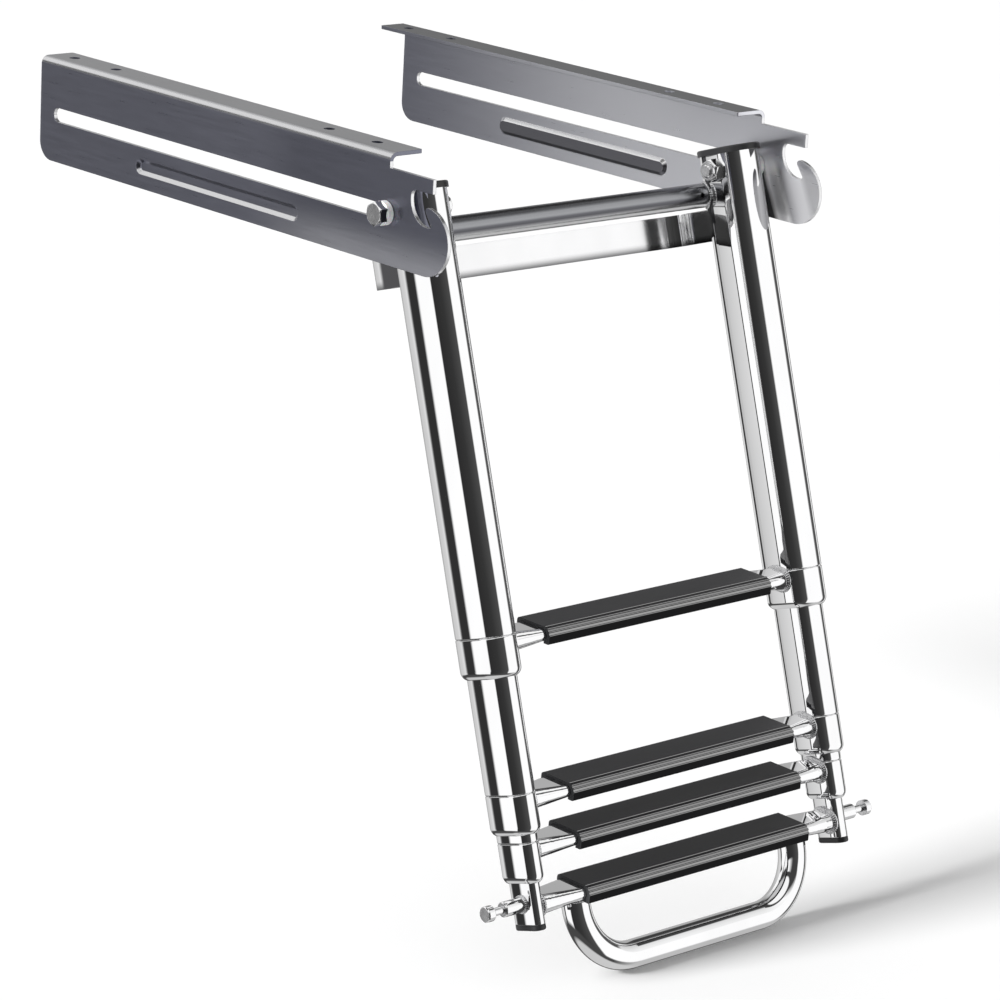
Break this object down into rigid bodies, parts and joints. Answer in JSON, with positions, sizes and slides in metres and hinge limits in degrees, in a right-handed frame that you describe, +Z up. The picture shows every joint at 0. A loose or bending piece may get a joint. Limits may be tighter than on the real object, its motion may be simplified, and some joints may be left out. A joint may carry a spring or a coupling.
{
  "type": "telescopic boat ladder",
  "caption": "Under-platform boarding ladder: nested flat-oval side tubes with padded steps, a grab loop, and slotted mounting rails with latch hooks.",
  "frame": {"origin": "middle of the left rail's flange top, the flat face that is bolted up against the platform", "axes": "+X along the treads from the left rail to the right rail, +Y to the rear of the rails where the carriage slides in, +Z up, out of the flange faces"},
  "size_m": [0.4036, 0.615, 0.5966],
  "materials": {
    "rail_steel": "satin brushed stainless steel",
    "polished_steel": "mirror polished stainless steel",
    "fastener_steel": "bright stainless steel",
    "nylon": "off-white nylon",
    "cap_plastic": "black, slightly glossy",
    "tread_plastic": "black, ribbed, satin"
  },
  "bodies": {
    "rails": {"left_rail": "rail_steel", "right_rail": "rail_steel"},
    "carriage": {"left_pivot_bolt": "fastener_steel", "right_pivot_bolt": "fastener_steel", "left_pivot_nut": "fastener_steel", "right_pivot_nut": "fastener_steel", "left_slide_bush": "nylon", "right_slide_bush": "nylon"},
    "upper_section": {"left_upper_tube": "polished_steel", "right_upper_tube": "polished_steel", "left_top_cap": "cap_plastic", "right_top_cap": "cap_plastic", "left_upper_collar": "polished_steel", "right_upper_collar": "polished_steel", "crossbar": "polished_steel", "stop_strap": "polished_steel", "step_bar_1": "polished_steel", "tread_pad_1": "tread_plastic"},
    "second_section": {"left_second_tube": "polished_steel", "right_second_tube": "polished_steel", "left_second_collar": "polished_steel", "right_second_collar": "polished_steel", "step_bar_2": "polished_steel", "tread_pad_2": "tread_plastic"},
    "third_section": {"left_third_tube": "polished_steel", "right_third_tube": "polished_steel", "left_third_collar": "polished_steel", "right_third_collar": "polished_steel", "step_bar_3": "polished_steel", "tread_pad_3": "tread_plastic"},
    "bottom_section": {"left_bottom_tube": "polished_steel", "right_bottom_tube": "polished_steel", "left_foot_plug": "cap_plastic", "right_foot_plug": "cap_plastic", "left_latch_pin": "fastener_steel", "right_latch_pin": "fastener_steel", "step_bar_4": "polished_steel", "tread_pad_4": "tread_plastic", "grab_loop": "polished_steel"}
  },
  "joints": [
    {"name": "carriage_slide", "type": "slide", "parent": "rails", "child": "carriage", "axis": [0, 1, 0], "range_m": [0, 0.391]},
    {"name": "ladder_fold", "type": "hinge", "parent": "carriage", "child": "upper_section", "pos_m": [0.175, -0.213, -0.044], "axis": [-1, 0, 0], "range_deg": [0, 72.5]},
    {"name": "second_slide", "type": "slide", "parent": "upper_section", "child": "second_section", "axis": [0, 0.309, 0.9511], "range_m": [-0.155, 0.08]},
    {"name": "third_slide", "type": "slide", "parent": "second_section", "child": "third_section", "axis": [0, 0.309, 0.9511], "range_m": [-0.235, 0]},
    {"name": "bottom_slide", "type": "slide", "parent": "third_section", "child": "bottom_section", "axis": [0, 0.309, 0.9511], "range_m": [-0.23, 0]}
  ]
}
